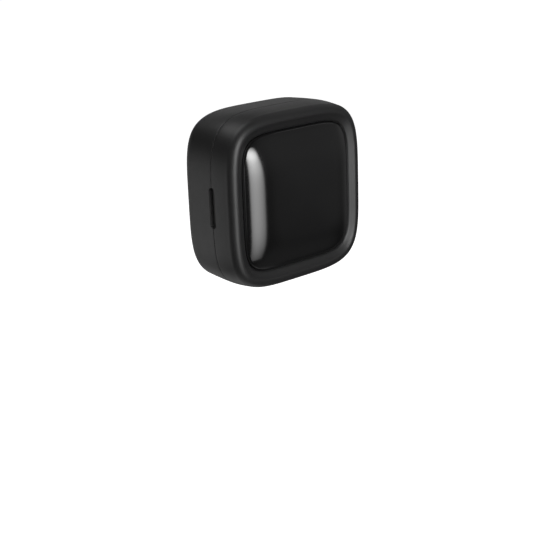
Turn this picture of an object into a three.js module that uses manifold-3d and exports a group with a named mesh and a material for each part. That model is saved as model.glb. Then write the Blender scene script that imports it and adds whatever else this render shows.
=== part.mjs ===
// A pocket clamshell that holds a brush head in a UV-C chamber.
// Rounded-square casing, parting plane facing front/back, lid hinged on the
// right about a vertical pin, glossy push panel filling the front of the lid.
// Units are millimetres, +Z is up, -Y is the front (the glossy panel's side).

import * as THREE from 'three';
import { mergeVertices } from 'three/addons/utils/BufferGeometryUtils.js';
import Module from 'manifold-3d';

const wasm = await Module();
wasm.setup();

// ---------------------------------------------------------------- dimensions
// All Y values below are measured from the middle of the casing's depth and all
// Z values from the middle of its height; FOOT and DEPTH_SHIFT place the origin.
const HALF = 30;              // half the width and half the height
const SQUARENESS = 4.17;      // exponent of the rounded-square outline
const RIM = -13.30;           // front-most line of the lid's rim
const BACK = 13.88;           // flat rear face
const PART = -3.61;           // parting plane between lid and base
const PART_GAP = 0.3;         // shadow gap at the parting plane
const BACK_RADIUS = 6.07;     // outer rounding of the rear edge
const DRAFT_FRONT = 0.59;     // how far the lid's wall leans in
const DRAFT_BACK = 0.54;      // how far the base's wall leans in
const WALL = 1.8;             // wall thickness
const FOOT = 0.4;             // flat taken off the very bottom so it can stand

// The rim's section: from the wall (88 degrees) it rounds over to the rim line,
// turns down and slopes into the well that holds the push panel.
const RIM_OUTER_R = 3.0;
const RIM_TURN = 25;          // tilt in degrees at which the rounding tightens
const RIM_LINE_R = 2.0;
const RIM_INNER_R = 1.6;
const RIM_SLOPE = [37, 20];   // tilt of the slope where it starts and where it ends
const WELL_INSET = 6.46;      // inner edge of the rim, where the panel's well starts

// The push panel's section, from its edge inwards: tilt in degrees at the end of
// each arc and the arc's radius. Past the last arc it is a flat crown.
const PANEL_GAP = 0.3;        // gap around the push panel
const PANEL_EDGE = -11.75;    // y where the panel's upright skirt ends
const PANEL_START = 80;       // tilt there
const PANEL_ARCS = [[39, 1.6, 4], [26, 14, 2], [15, 20, 2], [4, 20, 2]];
const PANEL_WALL = 1.1;       // thickness of the panel
const PANEL_TRAVEL = 0.6;     // push travel

const HINGE_X = 29.15;        // hinge axis, parallel to Z
const HINGE_Y = PART;
const KNUCKLE_R = 1.7;
const HINGE_CLEAR_R = 2.1;    // relief around the knuckles in both shells
const KNUCKLE_HALF = 15;      // the barrel runs from -15 to +15
const PIN_R = 0.6;
const PIN_BORE_R = 0.85;

const NECK_Y = 5.1;           // axis of the brush neck
const NECK_R = 4.0;           // half the mouth of the throat seals
const NOTCH_R = 5.8;          // U-notch in the base's bottom wall
const TROUGH_R = 5.6;         // channel from the throat into the chamber

const SLOT_LENGTH = 13.7;     // nail slot on the opening side
const SLOT_WIDTH = 2.7;
const SLOT_DEPTH = 1.1;

const CHAMBER_HALF = 20.3;    // mouth of the chamber
const CHAMBER_FLOOR = 9.2;    // rear of the chamber
const LID_FLOOR = -8.2;       // front of the chamber, inside the lid
const SCREW_AT = 22.3;        // casing screws sit at (+-22.3, +-22.3)

const PANEL_TOP = -16.84;     // front-most point of the whole casing
const DEPTH_SHIFT = -(PANEL_TOP + BACK) / 2;

// ------------------------------------------------------------ solid helpers
function toSolid(source) {
  let g = source.index ? source.clone() : source;
  g.deleteAttribute('normal');
  g.deleteAttribute('uv');
  g = mergeVertices(g, 1e-4);
  const p = g.attributes.position.array;
  const index = g.index.array;
  const tris = [];
  let volume = 0;
  for (let i = 0; i < index.length; i += 3) {
    const a = index[i], b = index[i + 1], c = index[i + 2];
    if (a === b || b === c || a === c) continue;
    tris.push(a, b, c);
    const [ax, ay, az] = [p[3 * a], p[3 * a + 1], p[3 * a + 2]];
    const [bx, by, bz] = [p[3 * b], p[3 * b + 1], p[3 * b + 2]];
    const [cx, cy, cz] = [p[3 * c], p[3 * c + 1], p[3 * c + 2]];
    volume += ax * (by * cz - bz * cy) + ay * (bz * cx - bx * cz) + az * (bx * cy - by * cx);
  }
  if (volume < 0) for (let i = 0; i < tris.length; i += 3) [tris[i], tris[i + 1]] = [tris[i + 1], tris[i]];
  return new wasm.Manifold(new wasm.Mesh({
    numProp: 3, vertProperties: new Float32Array(p), triVerts: new Uint32Array(tris),
  }));
}

function toGeometry(solid) {
  const m = solid.getMesh();
  const g = new THREE.BufferGeometry();
  g.setAttribute('position', new THREE.BufferAttribute(new Float32Array(m.vertProperties), 3));
  g.setIndex(new THREE.BufferAttribute(new Uint32Array(m.triVerts), 1));
  g.computeVertexNormals();
  return g;
}

function join(first, ...rest) { return rest.reduce((a, b) => a.add(b), first); }
function cut(first, ...rest) { return rest.reduce((a, b) => a.subtract(b), first); }

function box(x0, x1, y0, y1, z0, z1) {
  const g = new THREE.BoxGeometry(x1 - x0, y1 - y0, z1 - z0);
  g.translate((x0 + x1) / 2, (y0 + y1) / 2, (z0 + z1) / 2);
  return toSolid(g);
}

function rod(axis, u, v, radius, w0, w1, sides = 14) {
  const g = new THREE.CylinderGeometry(radius, radius, w1 - w0, sides);
  const mid = (w0 + w1) / 2;
  if (axis === 'y') g.translate(u, mid, v);
  if (axis === 'z') { g.rotateX(Math.PI / 2); g.translate(u, v, mid); }
  return toSolid(g);
}

// A shape drawn in (x, z) and run along Y.
function plateY(shape, y0, y1, curveSegments = 5) {
  const g = new THREE.ExtrudeGeometry(shape, { depth: y1 - y0, bevelEnabled: false, curveSegments });
  g.rotateX(Math.PI / 2);
  g.translate(0, y1, 0);
  return toSolid(g);
}

// A shape drawn in (x, y) and run along Z.
function plateZ(shape, z0, z1, curveSegments = 8) {
  const g = new THREE.ExtrudeGeometry(shape, { depth: z1 - z0, bevelEnabled: false, curveSegments });
  g.translate(0, 0, z0);
  return toSolid(g);
}

// A shape drawn in (y, z) and run along X.
function plateX(shape, x0, x1, curveSegments = 6) {
  const g = new THREE.ExtrudeGeometry(shape, { depth: x1 - x0, bevelEnabled: false, curveSegments });
  g.applyMatrix4(new THREE.Matrix4().makeBasis(
    new THREE.Vector3(0, 1, 0), new THREE.Vector3(0, 0, 1), new THREE.Vector3(1, 0, 0)));
  g.translate(x0, 0, 0);
  return toSolid(g);
}

function roundedRect(u0, u1, v0, v1, r) {
  const s = new THREE.Shape();
  s.moveTo(u0 + r, v0);
  s.lineTo(u1 - r, v0); s.absarc(u1 - r, v0 + r, r, -Math.PI / 2, 0, false);
  s.lineTo(u1, v1 - r); s.absarc(u1 - r, v1 - r, r, 0, Math.PI / 2, false);
  s.lineTo(u0 + r, v1); s.absarc(u0 + r, v1 - r, r, Math.PI / 2, Math.PI, false);
  s.lineTo(u0, v0 + r); s.absarc(u0 + r, v0 + r, r, Math.PI, 1.5 * Math.PI, false);
  return s;
}

// ------------------------------------------------ rounded-square lathe
// The casing is a lathe about Y whose circle is bent into the rounded square
// |x/a|^n + |z/a|^n = 1. A profile radius of (half - inset) becomes the outline
// moved inwards by that inset; further in than `keep` the ring is scaled.
function makeOutline(half, n, sides, keep) {
  const dense = 8000;
  const px = [], pz = [], len = [0];
  for (let i = 0; i <= dense; i++) {
    const t = (i / dense) * 2 * Math.PI;
    const s = Math.sin(t), c = Math.cos(t);
    px.push(half * Math.sign(s) * Math.abs(s) ** (2 / n));
    pz.push(half * Math.sign(c) * Math.abs(c) ** (2 / n));
    if (i) len.push(len[i - 1] + Math.hypot(px[i] - px[i - 1], pz[i] - pz[i - 1]));
  }
  const total = len[dense];
  const points = [];
  let j = 0;
  for (let k = 0; k < sides; k++) {
    const want = (k / sides) * total;
    while (j < dense - 1 && len[j + 1] < want) j++;
    const f = (want - len[j]) / Math.max(1e-12, len[j + 1] - len[j]);
    const x = px[j] + (px[j + 1] - px[j]) * f;
    const z = pz[j] + (pz[j + 1] - pz[j]) * f;
    let nx = Math.sign(x) * Math.abs(x / half) ** (n - 1);
    let nz = Math.sign(z) * Math.abs(z / half) ** (n - 1);
    const l = Math.hypot(nx, nz);
    nx /= l; nz /= l;
    points.push([x, z, nx, nz]);
  }
  return { half, keep, sides, points };
}

// profile: [radius, y] pairs from the axis round to the axis, or a closed loop.
function squareLathe(outline, profile, closed = false) {
  const pts = profile.map(([r, y]) => new THREE.Vector2(Math.max(0, r), y));
  if (closed) pts.push(pts[0].clone());
  const g = new THREE.LatheGeometry(pts, outline.sides);
  const pos = g.attributes.position;
  const rows = pts.length;
  for (let i = 0; i < pos.count; i++) {
    const side = Math.floor(i / rows) % outline.sides;
    const r = pts[i % rows].x;
    const [x, z, nx, nz] = outline.points[side];
    const inset = outline.half - r;
    const k = Math.min(inset, outline.keep);
    let ux = x - nx * k, uz = z - nz * k;
    if (inset > outline.keep) {
      const f = r / (outline.half - outline.keep);
      ux *= f; uz *= f;
    }
    pos.setXYZ(i, ux, pts[i % rows].y, uz);
  }
  return toSolid(g);
}

const CASE = makeOutline(HALF, SQUARENESS, 56, 8);
const PANEL = makeOutline(HALF, SQUARENESS, 48, 8);
const MOUTH = makeOutline(CHAMBER_HALF, 3.6, 40, 4);

// ------------------------------------------------------------ casing profiles
const R = (inset) => HALF - inset;

function sideWall(yPart, yEnd, draft, steps) {
  const rows = [];
  for (let k = 1; k <= steps; k++) {
    const f = k / steps;
    rows.push([R(draft * f ** 1.6), yPart + (yEnd - yPart) * f]);
  }
  return rows;
}

const lidEdge = PART - PART_GAP / 2;
const baseEdge = PART + PART_GAP / 2;

const sin = (a) => Math.sin(a * Math.PI / 180);
const cos = (a) => Math.cos(a * Math.PI / 180);
const tan = (a) => Math.tan(a * Math.PI / 180);

// [inset, y] from the end of the wall, over the rim line, to the well's edge.
function rimRows() {
  const turn = RIM_TURN;
  const line = DRAFT_FRONT + RIM_LINE_R * sin(turn) + RIM_OUTER_R * (sin(88) - sin(turn));
  const rows = [];
  for (let k = 0; k <= 5; k++) {
    const a = 88 + (turn - 88) * k / 5;
    rows.push([line - RIM_LINE_R * sin(turn) - RIM_OUTER_R * (sin(a) - sin(turn)),
      RIM + RIM_LINE_R * (1 - cos(turn)) + RIM_OUTER_R * (cos(turn) - cos(a))]);
  }
  for (const a of [turn / 2, 0]) rows.push([line - RIM_LINE_R * sin(a), RIM + RIM_LINE_R * (1 - cos(a))]);
  for (const a of [RIM_SLOPE[0] / 2, RIM_SLOPE[0]]) rows.push([line + RIM_INNER_R * sin(a), RIM + RIM_INNER_R * (1 - cos(a))]);
  let [inset, y] = rows[rows.length - 1];
  const step = (WELL_INSET - inset) / 16;
  for (let k = 1; k <= 16; k++) {
    y += step * tan(RIM_SLOPE[0] + (RIM_SLOPE[1] - RIM_SLOPE[0]) * ((k - 0.5) / 16) ** 1.5);
    inset += step;
    if (k === 6 || k === 11 || k === 16) rows.push([inset, y]);
  }
  return rows;
}
const rim = rimRows();
const wellEdge = rim[rim.length - 1][1];

const lidOutside = [[R(0.22), lidEdge], [R(0), lidEdge - 0.22]];
lidOutside.push(...sideWall(lidEdge - 0.22, rim[0][1], DRAFT_FRONT, 4));
lidOutside.push(...rim.slice(1).map(([inset, y]) => [R(inset), y]));

const baseOutside = [[R(0.22), baseEdge], [R(0), baseEdge + 0.22]];
baseOutside.push(...sideWall(baseEdge + 0.22, BACK - BACK_RADIUS, DRAFT_BACK, 4));
for (let k = 1; k <= 6; k++) {
  const s = (k / 6) * Math.PI / 2;
  baseOutside.push([R(DRAFT_BACK + BACK_RADIUS * (1 - Math.cos(s))), BACK - BACK_RADIUS * (1 - Math.sin(s))]);
}

const lidBlank = squareLathe(CASE, [[0, wellEdge], ...lidOutside.slice().reverse(), [0, lidEdge]]);
const baseBlank = squareLathe(CASE, [[0, baseEdge], ...baseOutside, [0, BACK]]);
// Both together with no shadow gap, to trim whatever crosses the parting plane.
const wholeBlank = squareLathe(CASE, [
  [0, wellEdge], ...lidOutside.slice(2).reverse(), [R(0), PART], ...baseOutside.slice(2), [0, BACK]]);

const lidCavity = squareLathe(CASE, [
  [0, -10.95], [R(4.4), -10.95], [R(2.75), -9.3], [R(2.2), -7.5], [R(WALL), lidEdge], [R(WALL), lidEdge + 2], [0, lidEdge + 2]]);
const panelWell = squareLathe(CASE, [[0, RIM - 1], [R(WELL_INSET), RIM - 1], [R(WELL_INSET), -10], [0, -10]]);

const rearInside = [[0, baseEdge - 2], [R(WALL), baseEdge - 2], [R(WALL), baseEdge], [R(WALL + DRAFT_BACK), BACK - BACK_RADIUS]];
for (let k = 1; k <= 3; k++) {
  const s = (k / 3) * Math.PI / 2;
  const r = BACK_RADIUS - WALL;
  rearInside.push([R(WALL + DRAFT_BACK + r * (1 - Math.cos(s))), BACK - BACK_RADIUS + r * Math.sin(s)]);
}
rearInside.push([0, BACK - WALL]);
const baseCavity = squareLathe(CASE, rearInside);

const belowFoot = box(-40, 40, -40, 40, -HALF - 5, -HALF + FOOT);

// Nail slot on the -X side, centred on the parting plane.
const nailSlot = plateX(
  roundedRect(PART - SLOT_WIDTH / 2, PART + SLOT_WIDTH / 2, -SLOT_LENGTH / 2, SLOT_LENGTH / 2, SLOT_WIDTH / 2 - 0.01),
  -HALF - 2, -HALF + SLOT_DEPTH);

// Relief around the hinge barrel, with a slimmer relief past its ends.
const hingeRelief = join(
  rod('z', HINGE_X, HINGE_Y, HINGE_CLEAR_R, -KNUCKLE_HALF - 0.4, KNUCKLE_HALF + 0.4, 20),
  rod('z', HINGE_X, HINGE_Y, 1.1, -18.6, 18.6, 12));
const pinBore = rod('z', HINGE_X, HINGE_Y, PIN_BORE_R, -KNUCKLE_HALF - 1, KNUCKLE_HALF + 1, 12);

function knuckle(z0, z1, side) {
  const barrel = rod('z', HINGE_X, HINGE_Y, KNUCKLE_R, z0, z1, 18);
  const arm = side > 0
    ? box(27.0, 29.95, HINGE_Y, HINGE_Y + 3.0, z0, z1)
    : box(27.0, 29.95, HINGE_Y - 3.0, HINGE_Y, z0, z1);
  return join(barrel, arm);
}

const corners = [[-SCREW_AT, SCREW_AT], [SCREW_AT, SCREW_AT], [SCREW_AT, -SCREW_AT], [-SCREW_AT, -SCREW_AT]];

// ---------------------------------------------------------------- rear shell
function notchShape(width, radius, taper) {
  const s = new THREE.Shape();
  s.moveTo(-(width + taper), PART - 3);
  s.lineTo(width + taper, PART - 3);
  s.lineTo(width, 3);
  s.lineTo(width, NECK_Y);
  s.absarc(0, NECK_Y, radius, 0, Math.PI, false);
  s.lineTo(-width, 3);
  s.lineTo(-(width + taper), PART - 3);
  return s;
}

const MAGNETS = [[-24.6, 15], [-24.6, -15]];
const INTERLOCK = [-24.6, 0];

// A thin lip on the base's edge stands inside the lid's wall and keeps the light in.
const lightLip = cut(
  squareLathe(CASE, [[R(0.95), -4.3], [R(1.7), -4.3], [R(1.7), -3.0], [R(0.95), -3.0]], true),
  box(24.5, 32, -8, 0, -19.3, 19.3));
const lipRebate = squareLathe(CASE, [[R(0.7), -4.55], [R(2.6), -4.55], [R(2.6), -3.0], [R(0.7), -3.0]], true);

let rearFixtures = join(
  box(25.2, 31, baseEdge, 2.5, -19, 19),
  box(-8.6, 8.6, baseEdge, 13, -31, -25.2),
  ...corners.map(([x, z]) => rod('y', x, z, 2.2, -1.55, 13)),
  ...MAGNETS.map(([x, z]) => rod('y', x, z, 3.0, -0.05, 13)),
  rod('y', INTERLOCK[0], INTERLOCK[1], 2.4, -0.05, 13));
let rearShell = join(cut(baseBlank, baseCavity), rearFixtures.intersect(baseBlank), lightLip);
rearShell = cut(rearShell, hingeRelief, nailSlot,
  plateZ(notchShape(NOTCH_R, NOTCH_R, 0.33), -32, -23),
  ...corners.map(([x, z]) => rod('y', x, z, 0.95, -3, 6, 10)));
rearShell = join(rearShell,
  knuckle(-KNUCKLE_HALF, -9.15, 1), knuckle(-2.85, 2.85, 1), knuckle(9.15, KNUCKLE_HALF, 1));
rearShell = cut(rearShell, pinBore, belowFoot);

// ---------------------------------------------------------------- front shell
const tongueShape = new THREE.Shape();
tongueShape.moveTo(-5.5, -9.5);
tongueShape.lineTo(5.5, -9.5);
tongueShape.lineTo(5.45, PART);
tongueShape.lineTo(5.2, 0);
tongueShape.lineTo(-5.2, 0);
tongueShape.lineTo(-5.45, PART);
tongueShape.lineTo(-5.5, -9.5);
const tongue = plateZ(tongueShape, -31, -26.9).intersect(wholeBlank);

const USB_X = 15.2, USB_Y = -6.8;   // centre of the charging inlet in the lid's bottom wall
let frontFixtures = join(
  box(25.2, 31, -9.5, lidEdge, -19, 19),
  ...corners.map(([x, z]) => rod('y', x, z, 2.0, -11.4, -5.75)));
let frontShell = join(cut(join(cut(lidBlank, lidCavity, panelWell), frontFixtures.intersect(lidBlank)), cut(lipRebate, box(24.2, 32, -8, 0, -19.0, 19.0))), tongue);
frontShell = cut(frontShell, hingeRelief, nailSlot,
  plateZ(roundedRect(USB_X - 4.75, USB_X + 4.75, USB_Y - 1.9, USB_Y + 1.9, 1.85), -32, -26),
  ...corners.map(([x, z]) => rod('y', x, z, 0.95, -10.2, -5, 10)));
frontShell = join(frontShell, knuckle(-8.85, -3.15, -1), knuckle(3.15, 8.85, -1));
frontShell = cut(frontShell, pinBore, belowFoot);

// ---------------------------------------------------------------- chamber
const linerFlange = squareLathe(CASE, [[0, -3.45], [R(2.1), -3.45], [R(2.1), -2.4], [0, -2.4]]);
const linerBowl = squareLathe(MOUTH, [
  [0, -3.45], [21.3, -3.45], [21.3, 5.2], [20.6, 7.9], [18.9, 9.6], [16.3, CHAMBER_FLOOR + 1.0], [0, CHAMBER_FLOOR + 1.0]]);
const linerHollow = squareLathe(MOUTH, [
  [0, -5], [CHAMBER_HALF, -5], [CHAMBER_HALF, -3.45], [20.1, 4.2], [19.43, 6.7], [17.6, 8.53], [15.1, CHAMBER_FLOOR], [0, CHAMBER_FLOOR]]);
const hingeCorner = box(24.9, 32, -12, 6, -19.3, 19.3);
// The trough runs under the chamber's floor as far as z = -12 and is closed there.
let liner = join(linerFlange, linerBowl, plateZ(notchShape(TROUGH_R + 0.9, TROUGH_R + 0.9, 0.2), -24.9, -11.1)
  .intersect(box(-10, 10, -3.45, 14, -26, -10)),
  ...corners.map(([x, z]) => rod('y', x, z, 2.2, -3.0, -1.7)));
liner = cut(liner, linerHollow, hingeCorner, box(-8.9, 8.9, -5, 13, -40, -24.9),
  plateZ(notchShape(TROUGH_R, TROUGH_R, 0.2), -40, -12),
  squareLathe(MOUTH, [[21.1, -4], [22.7, -4], [22.7, -3.0], [21.1, -3.0]], true),
  ...corners.map(([x, z]) => rod('y', x, z, 1.75, -4, -2.6, 12)),
  ...corners.map(([x, z]) => rod('y', x, z, 1.0, -3, 0, 10)));

const gasket = cut(squareLathe(MOUTH, [[21.35, -3.8], [22.45, -3.8], [22.45, -3.05], [21.35, -3.05]], true),
  box(-6.8, 6.8, -6, 0, -26, -14));

const rearSealOuter = new THREE.Shape();
rearSealOuter.moveTo(-5.45, 4.0);
rearSealOuter.lineTo(-NECK_R, 4.0);
rearSealOuter.lineTo(-NECK_R, NECK_Y);
rearSealOuter.absarc(0, NECK_Y, NECK_R, Math.PI, 0, true);
rearSealOuter.lineTo(NECK_R, 4.0);
rearSealOuter.lineTo(5.45, 4.0);
rearSealOuter.lineTo(5.45, NECK_Y);
rearSealOuter.absarc(0, NECK_Y, 5.45, 0, Math.PI, false);
const rearSeal = plateZ(rearSealOuter, -28.7, -26.7, 12);   // clear of the rounding of the rear edge

const frontSealShape = new THREE.Shape();
const horn = Math.sqrt(NECK_R ** 2 - (NECK_Y - 3.6) ** 2);
const hornAngle = Math.atan2(3.6 - NECK_Y, horn);
frontSealShape.moveTo(-4.9, 0.25);
frontSealShape.lineTo(4.9, 0.25);
frontSealShape.lineTo(4.9, 3.6);
frontSealShape.lineTo(horn, 3.6);
frontSealShape.absarc(0, NECK_Y, NECK_R, hornAngle, -Math.PI - hornAngle, true);
frontSealShape.lineTo(-4.9, 3.6);
const frontSeal = plateZ(frontSealShape, -29.3, -27.0, 10);

// ---------------------------------------------------------------- lid inside
const coverFlange = squareLathe(CASE, [[0, -4.95], [R(2.3), -4.95], [R(2.3), -3.95], [0, -3.95]]);
const coverHat = squareLathe(MOUTH, [[0, -9.0], [19.6, -9.0], [21.2, -7.4], [21.3, -3.95], [0, -3.95]]);
const coverHollow = squareLathe(MOUTH, [[0, LID_FLOOR], [18.9, LID_FLOOR], [20.1, -7.0], [CHAMBER_HALF, -3.95], [CHAMBER_HALF, -2], [0, -2]]);
const WINDOW = [-8, 8, -11, 15];
const PADS = [[-23.3, 5.5], [-23.3, -5.5], [23.3, 5.5], [23.3, -5.5]];
let cover = join(coverFlange, coverHat,
  ...corners.map(([x, z]) => rod('y', x, z, 2.3, -5.6, -4.3)),
  ...[[-15, 15], [15, 15], [15, -15], [-15, -15]].map(([x, z]) => rod('y', x, z, 1.4, -10.15, -8.6, 10)),
  ...PADS.map(([x, z]) => rod('y', x, z, 1.3, -8.45, -4.5, 10)));
cover = cut(cover, coverHollow, hingeCorner,
  box(-5.95, 5.95, -12, 0, -40, -26.4),
  plateY(roundedRect(WINDOW[0] - 0.3, WINDOW[1] + 0.3, WINDOW[2] - 0.3, WINDOW[3] + 0.3, 3.3), -12, -6),
  ...corners.map(([x, z]) => rod('y', x, z, 1.75, -4.8, -3, 12)),
  ...corners.map(([x, z]) => rod('y', x, z, 1.0, -6, -4, 10)));
cover = join(cover, ...PADS.filter(([x]) => x > 0).map(([x, z]) => rod('y', x, z, 1.3, -8.45, -4.5, 10)));

const uvWindow = plateY(roundedRect(...WINDOW, 3), -8.95, LID_FLOOR);

let board = plateY(roundedRect(-20, 20, -20, 20, 6), -11.2, -10.2);
board = cut(board, box(18.8, 21, -12, -9, -4.7, 4.7), box(-21, -18.8, -12, -9, -4.7, 4.7));

const usbShell = cut(
  plateZ(roundedRect(USB_X - 4.47, USB_X + 4.47, USB_Y - 1.6, USB_Y + 1.6, 1.55), -28.2, -22.6),
  plateZ(roundedRect(USB_X - 4.17, USB_X + 4.17, USB_Y - 1.3, USB_Y + 1.3, 1.25), -30, -23.6));
const usbSocket = join(usbShell, box(USB_X - 3.3, USB_X + 3.3, USB_Y - 0.35, USB_Y + 0.35, -27.6, -23.2));
let chargeBoard = plateY(roundedRect(6.3, 19.8, -26.2, -21.5, 0.6), -6.0, -5.2, 2);
chargeBoard = cut(chargeBoard, box(USB_X - 4.75, USB_X + 4.75, -9, -4, -30, -22.3));

const ribbon = join(
  box(6.6, 9.6, -9.27, -6.05, -21.85, -21.65),
  box(6.6, 9.6, -9.27, -9.07, -21.85, -17.4),
  box(6.6, 9.6, -10.15, -9.07, -17.6, -17.4));

// ---------------------------------------------------------------- push panel
const panelInset = WELL_INSET + PANEL_GAP;

// [inset from the panel's edge, y] along the section, moved inwards by `depth`.
function panelRows(depth) {
  let x = 0, y = PANEL_EDGE, tilt = PANEL_START;
  const row = () => [x + depth * sin(tilt), y + depth * cos(tilt)];
  const rows = [row()];
  for (const [end, radius, steps] of PANEL_ARCS) {
    const start = tilt;
    for (let k = 1; k <= steps; k++) {
      const next = start + (end - start) * k / steps;
      x += radius * (sin(tilt) - sin(next));
      y -= radius * (cos(next) - cos(tilt));
      tilt = next;
      rows.push(row());
    }
  }
  return rows;
}
function inPanel(rows, skirt, bottom) {
  const kept = rows.filter(([inset]) => inset > skirt + 0.05);
  return [[R(panelInset + skirt), bottom], [R(panelInset + skirt), PANEL_EDGE], ...kept.map(([inset, y]) => [R(panelInset + inset), y])];
}
const panelOutside = [[R(panelInset), -11.1], ...panelRows(0).map(([inset, y]) => [R(panelInset + inset), y])];
const panelHollow = inPanel(panelRows(PANEL_WALL), 1.25, -11.1);
const panel = squareLathe(PANEL, [
  [0, PANEL_TOP], [6.3, PANEL_TOP + 0.11], ...panelOutside.slice().reverse(),
  ...panelHollow, [6.3, PANEL_TOP + PANEL_WALL + 0.11], [0, PANEL_TOP + PANEL_WALL]]);

const frameRing = squareLathe(PANEL, [[20.9, -10.75], [23.0, -10.75], [23.0, -9.95], [20.9, -9.95]], true);
const tabs = join(box(-24.3, 24.3, -10.75, -9.95, -8.5, 8.5), box(-8.5, 8.5, -10.75, -9.95, -24.3, 24.3));
const ringHole = squareLathe(PANEL, [[0, -12], [20.9, -12], [20.9, -9], [0, -9]]);
// Two ribs pass the board's notches and carry a bridge that pushes the switch.
let panelFrame = join(frameRing, cut(tabs, ringHole),
  box(-21.3, -19.2, -10.75, -9.95, -4, 4), box(19.2, 21.3, -10.75, -9.95, -4, 4),
  box(-20.6, -19.2, -12.75, -10.3, -4, 4), box(19.2, 20.6, -12.75, -10.3, -4, 4),
  box(-20.4, -16.8, -12.75, -12.05, -4, 4), box(16.8, 20.4, -12.75, -12.05, -4, 4),
  box(-17.6, -16.8, -13.95, -12.05, -4, 4), box(16.8, 17.6, -13.95, -12.05, -4, 4),
  box(-17.6, 17.6, -13.95, -13.2, -4, 4), box(-9, 9, -14.9, -13.9, -4, 4));
const panelInside = squareLathe(PANEL, [
  [0, -9], ...inPanel(panelRows(PANEL_WALL + 0.3), 1.55, -9), [0, PANEL_TOP + PANEL_WALL + 0.3]]);
panelFrame = panelFrame.intersect(panelInside.add(box(-26, 26, -10.95, -9, -26, 26)));

// ---------------------------------------------------------------- small parts
function screw(x, z, headY, way) {
  // way +1: points to +Y (base screws); way -1: points to -Y (lid screws)
  const profile = way > 0
    ? [[0, headY], [1.5, headY], [1.5, headY + 0.45], [0.75, headY + 0.8], [0.7, headY + 5.6], [0, headY + 6.2]]
    : [[0, headY - 6.2 + 1.0], [0.7, headY - 5.6 + 1.0], [0.75, headY - 0.8], [1.5, headY - 0.45], [1.5, headY], [0, headY]];
  const g = new THREE.LatheGeometry(profile.map(([r, y]) => new THREE.Vector2(r, y)), 10);
  g.translate(x, 0, z);
  const y0 = way > 0 ? headY - 1 : headY - 0.4, y1 = way > 0 ? headY + 0.4 : headY + 1;
  return cut(toSolid(g), box(x - 0.9, x + 0.9, y0, y1, z - 0.2, z + 0.2), box(x - 0.2, x + 0.2, y0, y1, z - 0.9, z + 0.9));
}

const switchBody = cut(box(-3, 3, -12.5, -11.2, -3, 3), rod('y', 0, 0, 1.8, -14, -11.35, 18));
const switchStem = rod('y', 0, 0, 1.5, -13.05, -12.0, 18);
const hingePin = rod('z', HINGE_X, HINGE_Y, PIN_R, -KNUCKLE_HALF + 0.3, KNUCKLE_HALF - 0.3, 14);
const battery = plateY(roundedRect(-15.2, 15.2, 4.6, 16.2, 1.4), -13.2, -11.55);
const batteryTape = box(-13.5, 13.5, -11.5, -11.25, 5.8, 15);

// ---------------------------------------------------------------- finishes
const FINISH = {
  satinBlack: { color: 0x232325, roughness: 0.46, metalness: 0 },
  glossBlack: { color: 0x101012, roughness: 0.08, metalness: 0 },
  innerBlack: { color: 0x2b2b2e, roughness: 0.6, metalness: 0 },
  reflector: { color: 0xc9ccd0, roughness: 0.22, metalness: 0.95 },
  window: { color: 0xe6ecf0, roughness: 0.05, metalness: 0 },
  silicone: { color: 0x3a3b3e, roughness: 0.75, metalness: 0 },
  steel: { color: 0xb6b9bd, roughness: 0.3, metalness: 1 },
  magnet: { color: 0xbfc2c4, roughness: 0.25, metalness: 1 },
  boardGreen: { color: 0x1d5a3a, roughness: 0.5, metalness: 0 },
  chip: { color: 0x1a1a1c, roughness: 0.5, metalness: 0 },
  ceramic: { color: 0xe9e4d6, roughness: 0.45, metalness: 0 },
  ferrite: { color: 0x4b4a4c, roughness: 0.7, metalness: 0 },
  pouch: { color: 0xb9bcc0, roughness: 0.35, metalness: 0.8 },
  foam: { color: 0xd8d6cf, roughness: 0.9, metalness: 0 },
  polyimide: { color: 0xb06a1e, roughness: 0.4, metalness: 0 },
};

function piece(group, name, solid, finish) {
  const mesh = new THREE.Mesh(toGeometry(solid), new THREE.MeshStandardMaterial(FINISH[finish]));
  mesh.name = name;
  group.add(mesh);
}

const product = new THREE.Group();
product.name = 'sterilizer';
product.position.set(0, DEPTH_SHIFT, HALF - FOOT);

const base = new THREE.Group();
const lid = new THREE.Group();
const button = new THREE.Group();
product.add(base, lid);
lid.add(button);

piece(base, 'rear_shell', rearShell, 'satinBlack');
piece(base, 'chamber_liner', liner, 'reflector');
piece(base, 'throat_seal_rear', rearSeal, 'silicone');
piece(base, 'lid_gasket', gasket, 'silicone');
piece(base, 'hinge_pin', hingePin, 'steel');
piece(base, 'base_magnet_upper', rod('y', ...MAGNETS[0], 2.2, -2.3, -0.1, 18), 'magnet');
piece(base, 'base_magnet_lower', rod('y', ...MAGNETS[1], 2.2, -2.3, -0.1, 18), 'magnet');
piece(base, 'interlock_magnet', rod('y', ...INTERLOCK, 1.5, -2.3, -0.1, 16), 'magnet');
corners.forEach(([x, z], i) => piece(base, `liner_screw_${i + 1}`, screw(x, z, -3.42, 1), 'steel'));

piece(lid, 'front_shell', frontShell, 'satinBlack');
piece(lid, 'lid_inner_cover', cover, 'innerBlack');
piece(lid, 'uv_window', uvWindow, 'window');
piece(lid, 'control_board', board, 'boardGreen');
piece(lid, 'uv_led_upper', box(-1.75, 1.75, -10.18, -9.2, 7.25, 10.75), 'ceramic');
piece(lid, 'uv_led_lower', box(-1.75, 1.75, -10.18, -9.2, -6.75, -3.25), 'ceramic');
piece(lid, 'switch_body', switchBody, 'chip');
piece(lid, 'microcontroller_chip', box(-11, -7, -12.05, -11.22, -14, -10), 'chip');
piece(lid, 'boost_inductor', box(7, 11, -12.9, -11.22, -14, -10), 'ferrite');
piece(lid, 'status_led', box(-0.8, 0.8, -11.85, -11.22, -15.6, -14.8), 'ceramic');
piece(lid, 'hall_sensor', box(-18.4, -15.6, -10.18, -9.2, -1.5, 1.5), 'chip');
piece(lid, 'battery_cell', battery, 'pouch');
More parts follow.
